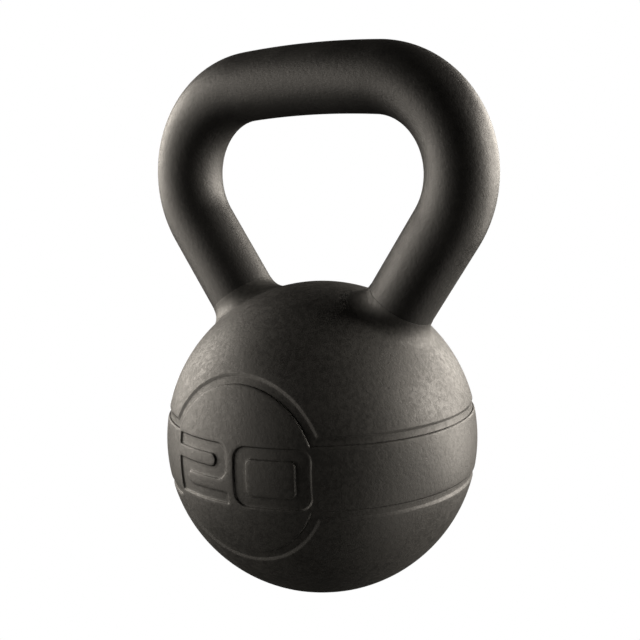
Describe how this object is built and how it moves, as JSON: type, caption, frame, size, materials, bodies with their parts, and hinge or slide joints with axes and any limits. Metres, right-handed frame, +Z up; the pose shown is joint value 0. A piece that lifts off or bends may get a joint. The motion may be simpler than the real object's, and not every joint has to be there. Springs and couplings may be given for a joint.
{
  "type": "kettlebell",
  "caption": "Round black kettlebell with a bent bar handle, a recessed belt and number discs front and back, and a flat rubber foot.",
  "frame": {"origin": "middle of the foot pad's underside, on the floor", "axes": "+Z up through the grip, +X along the grip, -Y out of the front number disc"},
  "size_m": [0.2104, 0.172, 0.2915],
  "materials": {
    "coated_steel": "matte",
    "weld_steel": "satin",
    "core_iron": "matte",
    "shot_steel": "satin",
    "jacket_rubber": "matte",
    "band_rubber": "matte",
    "pad_rubber": "matte"
  },
  "bodies": {
    "root": {"handle_bar": "coated_steel", "leg_welds": "weld_steel", "iron_core": "core_iron", "ballast_fill": "shot_steel", "trim_plug": "shot_steel", "upper_jacket": "jacket_rubber", "lower_jacket": "jacket_rubber", "waist_band": "band_rubber", "foot_pad": "pad_rubber"}
  },
  "joints": []
}
